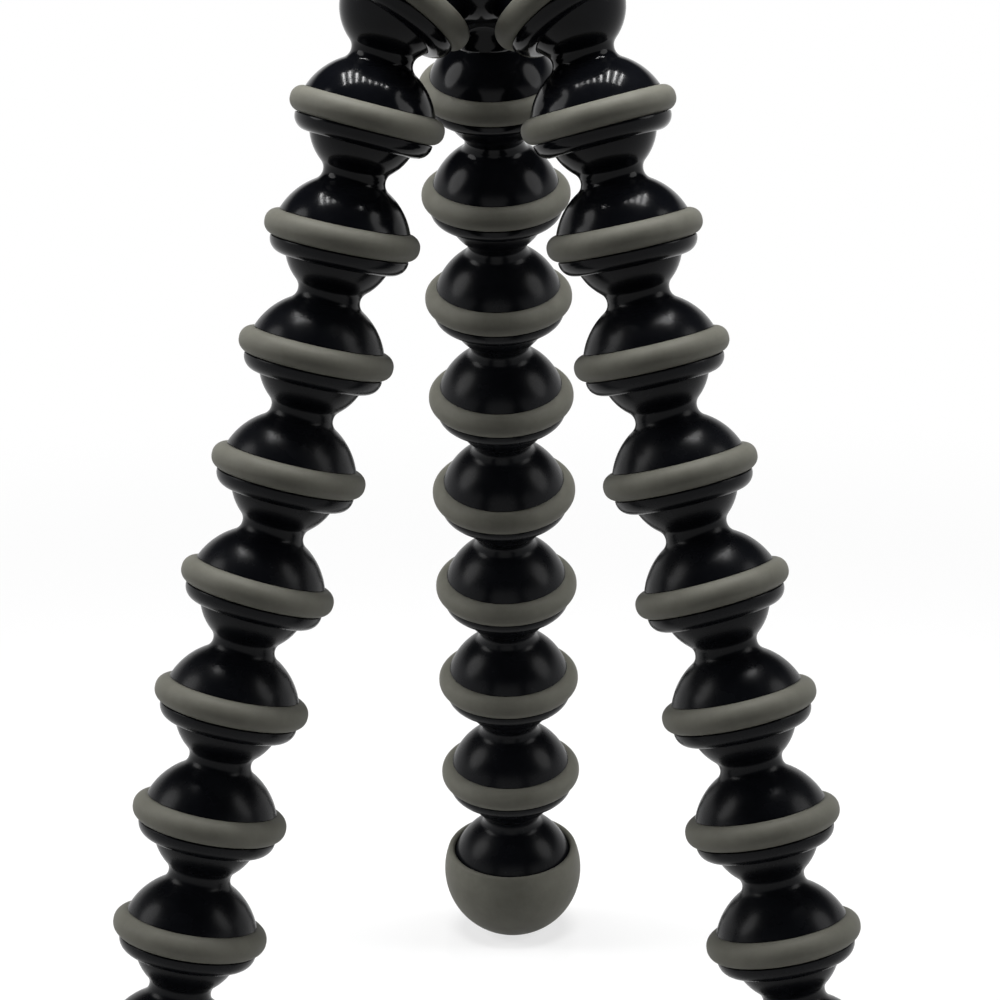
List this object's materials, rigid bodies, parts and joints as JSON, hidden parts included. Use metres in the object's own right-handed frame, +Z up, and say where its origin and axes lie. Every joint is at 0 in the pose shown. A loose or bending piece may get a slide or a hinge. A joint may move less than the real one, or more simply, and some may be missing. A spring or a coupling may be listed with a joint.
{
  "type": "flexible leg tripod",
  "caption": "Flexible tripod whose legs are chains of ball-and-socket links with rubber grip rings and round rubber feet, under a hub with a camera screw and a lock wheel.",
  "frame": {"origin": "on the axis of the camera screw, level with the top of the lock wheel, where a camera sits", "axes": "+Z up along the camera screw; the rear leg points along +Y, the front legs to -X and +X"},
  "size_m": [0.1436, 0.1281, 0.2398],
  "materials": {
    "black_plastic": "gloss moulded black",
    "grey_rubber": "satin warm grey",
    "wheel_plastic": "fine matt black",
    "steel": "bright plated"
  },
  "bodies": {
    "hub": {"hub_body": "black_plastic", "camera_screw": "steel"},
    "lock_wheel": {"lock_wheel": "wheel_plastic"},
    "left_ring_1": {"left_ring_1": "grey_rubber"},
    "left_link_1": {"left_link_1": "black_plastic"},
    "left_ring_2": {"left_ring_2": "grey_rubber"},
    "left_link_2": {"left_link_2": "black_plastic"},
    "left_ring_3": {"left_ring_3": "grey_rubber"},
    "left_link_3": {"left_link_3": "black_plastic"},
    "left_ring_4": {"left_ring_4": "grey_rubber"},
    "left_link_4": {"left_link_4": "black_plastic"},
    "left_ring_5": {"left_ring_5": "grey_rubber"},
    "left_link_5": {"left_link_5": "black_plastic"},
    "left_ring_6": {"left_ring_6": "grey_rubber"},
    "left_link_6": {"left_link_6": "black_plastic"},
    "left_ring_7": {"left_ring_7": "grey_rubber"},
    "left_link_7": {"left_link_7": "black_plastic"},
    "left_ring_8": {"left_ring_8": "grey_rubber"},
    "left_link_8": {"left_link_8": "black_plastic"},
    "left_ring_9": {"left_ring_9": "grey_rubber"},
    "left_foot": {"left_foot": "black_plastic", "left_foot_cup": "grey_rubber"},
    "right_ring_1": {"right_ring_1": "grey_rubber"},
    "right_link_1": {"right_link_1": "black_plastic"},
    "right_ring_2": {"right_ring_2": "grey_rubber"},
    "right_link_2": {"right_link_2": "black_plastic"},
    "right_ring_3": {"right_ring_3": "grey_rubber"},
    "right_link_3": {"right_link_3": "black_plastic"},
    "right_ring_4": {"right_ring_4": "grey_rubber"},
    "right_link_4": {"right_link_4": "black_plastic"},
    "right_ring_5": {"right_ring_5": "grey_rubber"},
    "right_link_5": {"right_link_5": "black_plastic"},
    "right_ring_6": {"right_ring_6": "grey_rubber"},
    "right_link_6": {"right_link_6": "black_plastic"},
    "right_ring_7": {"right_ring_7": "grey_rubber"},
    "right_link_7": {"right_link_7": "black_plastic"},
    "right_ring_8": {"right_ring_8": "grey_rubber"},
    "right_link_8": {"right_link_8": "black_plastic"},
    "right_ring_9": {"right_ring_9": "grey_rubber"},
    "right_foot": {"right_foot": "black_plastic", "right_foot_cup": "grey_rubber"},
    "rear_ring_1": {"rear_ring_1": "grey_rubber"},
    "rear_link_1": {"rear_link_1": "black_plastic"},
    "rear_ring_2": {"rear_ring_2": "grey_rubber"},
    "rear_link_2": {"rear_link_2": "black_plastic"},
    "rear_ring_3": {"rear_ring_3": "grey_rubber"},
    "rear_link_3": {"rear_link_3": "black_plastic"},
    "rear_ring_4": {"rear_ring_4": "grey_rubber"},
    "rear_link_4": {"rear_link_4": "black_plastic"},
    "rear_ring_5": {"rear_ring_5": "grey_rubber"},
    "rear_link_5": {"rear_link_5": "black_plastic"},
    "rear_ring_6": {"rear_ring_6": "grey_rubber"},
    "rear_link_6": {"rear_link_6": "black_plastic"},
    "rear_ring_7": {"rear_ring_7": "grey_rubber"},
    "rear_link_7": {"rear_link_7": "black_plastic"},
    "rear_ring_8": {"rear_ring_8": "grey_rubber"},
    "rear_link_8": {"rear_link_8": "black_plastic"},
    "rear_ring_9": {"rear_ring_9": "grey_rubber"},
    "rear_foot": {"rear_foot": "black_plastic", "rear_foot_cup": "grey_rubber"}
  },
  "joints": [
    {"name": "bend_1_left", "type": "hinge", "parent": "left_ring_1", "child": "left_link_1", "pos_m": [-0.01537, -0.00887, -0.0337], "axis": [-0.5, 0.866, 0], "range_deg": [-2, 48]},
    {"name": "bend_1_rear", "type": "hinge", "parent": "rear_ring_1", "child": "rear_link_1", "pos_m": [0, 0.01775, -0.0337], "axis": [1, 0, 0], "range_deg": [-2, 48]},
    {"name": "bend_1_right", "type": "hinge", "parent": "right_ring_1", "child": "right_link_1", "pos_m": [0.01537, -0.00887, -0.0337], "axis": [-0.5, -0.866, 0], "range_deg": [-2, 48]},
    {"name": "bend_2_left", "type": "hinge", "parent": "left_ring_2", "child": "left_link_2", "pos_m": [-0.02082, -0.01202, -0.05426], "axis": [0.5, -0.866, 0], "range_deg": [-28, 22]},
    {"name": "bend_2_rear", "type": "hinge", "parent": "rear_ring_2", "child": "rear_link_2", "pos_m": [0, 0.02404, -0.05426], "axis": [-1, 0, 0], "range_deg": [-28, 22]},
    {"name": "bend_2_right", "type": "hinge", "parent": "right_ring_2", "child": "right_link_2", "pos_m": [0.02082, -0.01202, -0.05426], "axis": [0.5, 0.866, 0], "range_deg": [-28, 22]},
    {"name": "bend_3_left", "type": "hinge", "parent": "left_ring_3", "child": "left_link_3", "pos_m": [-0.02532, -0.01462, -0.07512], "axis": [0.5, -0.866, 0], "range_deg": [-24, 26]},
    {"name": "bend_3_rear", "type": "hinge", "parent": "rear_ring_3", "child": "rear_link_3", "pos_m": [0, 0.02924, -0.07512], "axis": [-1, 0, 0], "range_deg": [-24, 26]},
    {"name": "bend_3_right", "type": "hinge", "parent": "right_ring_3", "child": "right_link_3", "pos_m": [0.02532, -0.01462, -0.07512], "axis": [0.5, 0.866, 0], "range_deg": [-24, 26]},
    {"name": "bend_4_left", "type": "hinge", "parent": "left_ring_4", "child": "left_link_4", "pos_m": [-0.03014, -0.0174, -0.09589], "axis": [-0.5, 0.866, 0], "range_deg": [-26, 24]},
    {"name": "bend_4_rear", "type": "hinge", "parent": "rear_ring_4", "child": "rear_link_4", "pos_m": [0, 0.0348, -0.09589], "axis": [1, 0, 0], "range_deg": [-26, 24]},
    {"name": "bend_4_right", "type": "hinge", "parent": "right_ring_4", "child": "right_link_4", "pos_m": [0.03014, -0.0174, -0.09589], "axis": [-0.5, -0.866, 0], "range_deg": [-26, 24]},
    {"name": "bend_5_left", "type": "hinge", "parent": "left_ring_5", "child": "left_link_5", "pos_m": [-0.03527, -0.02036, -0.11656], "axis": [-0.5, 0.866, 0], "range_deg": [-27, 23]},
    {"name": "bend_5_rear", "type": "hinge", "parent": "rear_ring_5", "child": "rear_link_5", "pos_m": [0, 0.04073, -0.11656], "axis": [1, 0, 0], "range_deg": [-27, 23]},
    {"name": "bend_5_right", "type": "hinge", "parent": "right_ring_5", "child": "right_link_5", "pos_m": [0.03527, -0.02036, -0.11656], "axis": [-0.5, -0.866, 0], "range_deg": [-27, 23]},
    {"name": "bend_6_left", "type": "hinge", "parent": "left_ring_6", "child": "left_link_6", "pos_m": [-0.04103, -0.02369, -0.137], "axis": [0.5, -0.866, 0], "range_deg": [-28, 22]},
    {"name": "bend_6_rear", "type": "hinge", "parent": "rear_ring_6", "child": "rear_link_6", "pos_m": [0, 0.04737, -0.137], "axis": [-1, 0, 0], "range_deg": [-28, 22]},
    {"name": "bend_6_right", "type": "hinge", "parent": "right_ring_6", "child": "right_link_6", "pos_m": [0.04103, -0.02369, -0.137], "axis": [0.5, 0.866, 0], "range_deg": [-28, 22]},
    {"name": "bend_7_left", "type": "hinge", "parent": "left_ring_7", "child": "left_link_7", "pos_m": [-0.04584, -0.02647, -0.15777], "axis": [0.5, -0.866, 0], "range_deg": [-27, 23]},
    {"name": "bend_7_rear", "type": "hinge", "parent": "rear_ring_7", "child": "rear_link_7", "pos_m": [0, 0.05294, -0.15777], "axis": [-1, 0, 0], "range_deg": [-27, 23]},
    {"name": "bend_7_right", "type": "hinge", "parent": "right_ring_7", "child": "right_link_7", "pos_m": [0.04584, -0.02647, -0.15777], "axis": [0.5, 0.866, 0], "range_deg": [-27, 23]},
    {"name": "bend_8_left", "type": "hinge", "parent": "left_ring_8", "child": "left_link_8", "pos_m": [-0.05003, -0.02889, -0.17872], "axis": [-0.5, 0.866, 0], "range_deg": [-24, 26]},
    {"name": "bend_8_rear", "type": "hinge", "parent": "rear_ring_8", "child": "rear_link_8", "pos_m": [0, 0.05777, -0.17872], "axis": [1, 0, 0], "range_deg": [-24, 26]},
    {"name": "bend_8_right", "type": "hinge", "parent": "right_ring_8", "child": "right_link_8", "pos_m": [0.05003, -0.02889, -0.17872], "axis": [-0.5, -0.866, 0], "range_deg": [-24, 26]},
    {"name": "bend_9_left", "type": "hinge", "parent": "left_ring_9", "child": "left_foot", "pos_m": [-0.0539, -0.03112, -0.19975], "axis": [-0.5, 0.866, 0], "range_deg": [-25, 25]},
    {"name": "bend_9_rear", "type": "hinge", "parent": "rear_ring_9", "child": "rear_foot", "pos_m": [0, 0.06224, -0.19975], "axis": [1, 0, 0], "range_deg": [-25, 25]},
    {"name": "bend_9_right", "type": "hinge", "parent": "right_ring_9", "child": "right_foot", "pos_m": [0.0539, -0.03112, -0.19975], "axis": [-0.5, -0.866, 0], "range_deg": [-25, 25]},
    {"name": "lock_wheel_turn", "type": "hinge", "parent": "hub", "child": "lock_wheel", "pos_m": [0, 0, 0], "axis": [0, 0, 1], "continuous": true},
    {"name": "swivel_1_left", "type": "hinge", "parent": "hub", "child": "left_ring_1", "pos_m": [-0.01537, -0.00887, -0.0337], "axis": [-0.5567, -0.3214, -0.766], "continuous": true},
    {"name": "swivel_1_rear", "type": "hinge", "parent": "hub", "child": "rear_ring_1", "pos_m": [0, 0.01775, -0.0337], "axis": [0, 0.6428, -0.766], "continuous": true},
    {"name": "swivel_1_right", "type": "hinge", "parent": "hub", "child": "right_ring_1", "pos_m": [0.01537, -0.00887, -0.0337], "axis": [0.5567, -0.3214, -0.766], "continuous": true},
    {"name": "swivel_2_left", "type": "hinge", "parent": "left_link_1", "child": "left_ring_2", "pos_m": [-0.02082, -0.01202, -0.05426], "axis": [-0.2532, -0.1462, -0.9563], "continuous": true},
    {"name": "swivel_2_rear", "type": "hinge", "parent": "rear_link_1", "child": "rear_ring_2", "pos_m": [0, 0.02404, -0.05426], "axis": [0, 0.2924, -0.9563], "continuous": true},
    {"name": "swivel_2_right", "type": "hinge", "parent": "right_link_1", "child": "right_ring_2", "pos_m": [0.02082, -0.01202, -0.05426], "axis": [0.2532, -0.1462, -0.9563], "continuous": true},
    {"name": "swivel_3_left", "type": "hinge", "parent": "left_link_2", "child": "left_ring_3", "pos_m": [-0.02532, -0.01462, -0.07512], "axis": [-0.2095, -0.121, -0.9703], "continuous": true},
    {"name": "swivel_3_rear", "type": "hinge", "parent": "rear_link_2", "child": "rear_ring_3", "pos_m": [0, 0.02924, -0.07512], "axis": [0, 0.2419, -0.9703], "continuous": true},
    {"name": "swivel_3_right", "type": "hinge", "parent": "right_link_2", "child": "right_ring_3", "pos_m": [0.02532, -0.01462, -0.07512], "axis": [0.2095, -0.121, -0.9703], "continuous": true},
    {"name": "swivel_4_left", "type": "hinge", "parent": "left_link_3", "child": "left_ring_4", "pos_m": [-0.03014, -0.0174, -0.09589], "axis": [-0.2241, -0.1294, -0.9659], "continuous": true},
    {"name": "swivel_4_rear", "type": "hinge", "parent": "rear_link_3", "child": "rear_ring_4", "pos_m": [0, 0.0348, -0.09589], "axis": [0, 0.2588, -0.9659], "continuous": true},
    {"name": "swivel_4_right", "type": "hinge", "parent": "right_link_3", "child": "right_ring_4", "pos_m": [0.03014, -0.0174, -0.09589], "axis": [0.2241, -0.1294, -0.9659], "continuous": true},
    {"name": "swivel_5_left", "type": "hinge", "parent": "left_link_4", "child": "left_ring_5", "pos_m": [-0.03527, -0.02036, -0.11656], "axis": [-0.2387, -0.1378, -0.9613], "continuous": true},
    {"name": "swivel_5_rear", "type": "hinge", "parent": "rear_link_4", "child": "rear_ring_5", "pos_m": [0, 0.04073, -0.11656], "axis": [0, 0.2756, -0.9613], "continuous": true},
    {"name": "swivel_5_right", "type": "hinge", "parent": "right_link_4", "child": "right_ring_5", "pos_m": [0.03527, -0.02036, -0.11656], "axis": [0.2387, -0.1378, -0.9613], "continuous": true},
    {"name": "swivel_6_left", "type": "hinge", "parent": "left_link_5", "child": "left_ring_6", "pos_m": [-0.04103, -0.02369, -0.137], "axis": [-0.2676, -0.1545, -0.9511], "continuous": true},
    {"name": "swivel_6_rear", "type": "hinge", "parent": "rear_link_5", "child": "rear_ring_6", "pos_m": [0, 0.04737, -0.137], "axis": [0, 0.309, -0.9511], "continuous": true},
    {"name": "swivel_6_right", "type": "hinge", "parent": "right_link_5", "child": "right_ring_6", "pos_m": [0.04103, -0.02369, -0.137], "axis": [0.2676, -0.1545, -0.9511], "continuous": true},
    {"name": "swivel_7_left", "type": "hinge", "parent": "left_link_6", "child": "left_ring_7", "pos_m": [-0.04584, -0.02647, -0.15777], "axis": [-0.2241, -0.1294, -0.9659], "continuous": true},
    {"name": "swivel_7_rear", "type": "hinge", "parent": "rear_link_6", "child": "rear_ring_7", "pos_m": [0, 0.05294, -0.15777], "axis": [0, 0.2588, -0.9659], "continuous": true},
    {"name": "swivel_7_right", "type": "hinge", "parent": "right_link_6", "child": "right_ring_7", "pos_m": [0.04584, -0.02647, -0.15777], "axis": [0.2241, -0.1294, -0.9659], "continuous": true},
    {"name": "swivel_8_left", "type": "hinge", "parent": "left_link_7", "child": "left_ring_8", "pos_m": [-0.05003, -0.02889, -0.17872], "axis": [-0.1948, -0.1125, -0.9744], "continuous": true},
    {"name": "swivel_8_rear", "type": "hinge", "parent": "rear_link_7", "child": "rear_ring_8", "pos_m": [0, 0.05777, -0.17872], "axis": [0, 0.225, -0.9744], "continuous": true},
    {"name": "swivel_8_right", "type": "hinge", "parent": "right_link_7", "child": "right_ring_8", "pos_m": [0.05003, -0.02889, -0.17872], "axis": [0.1948, -0.1125, -0.9744], "continuous": true},
    {"name": "swivel_9_left", "type": "hinge", "parent": "left_link_8", "child": "left_ring_9", "pos_m": [-0.0539, -0.03112, -0.19975], "axis": [-0.1801, -0.104, -0.9781], "continuous": true},
    {"name": "swivel_9_rear", "type": "hinge", "parent": "rear_link_8", "child": "rear_ring_9", "pos_m": [0, 0.06224, -0.19975], "axis": [0, 0.2079, -0.9781], "continuous": true},
    {"name": "swivel_9_right", "type": "hinge", "parent": "right_link_8", "child": "right_ring_9", "pos_m": [0.0539, -0.03112, -0.19975], "axis": [0.1801, -0.104, -0.9781], "continuous": true}
  ]
}
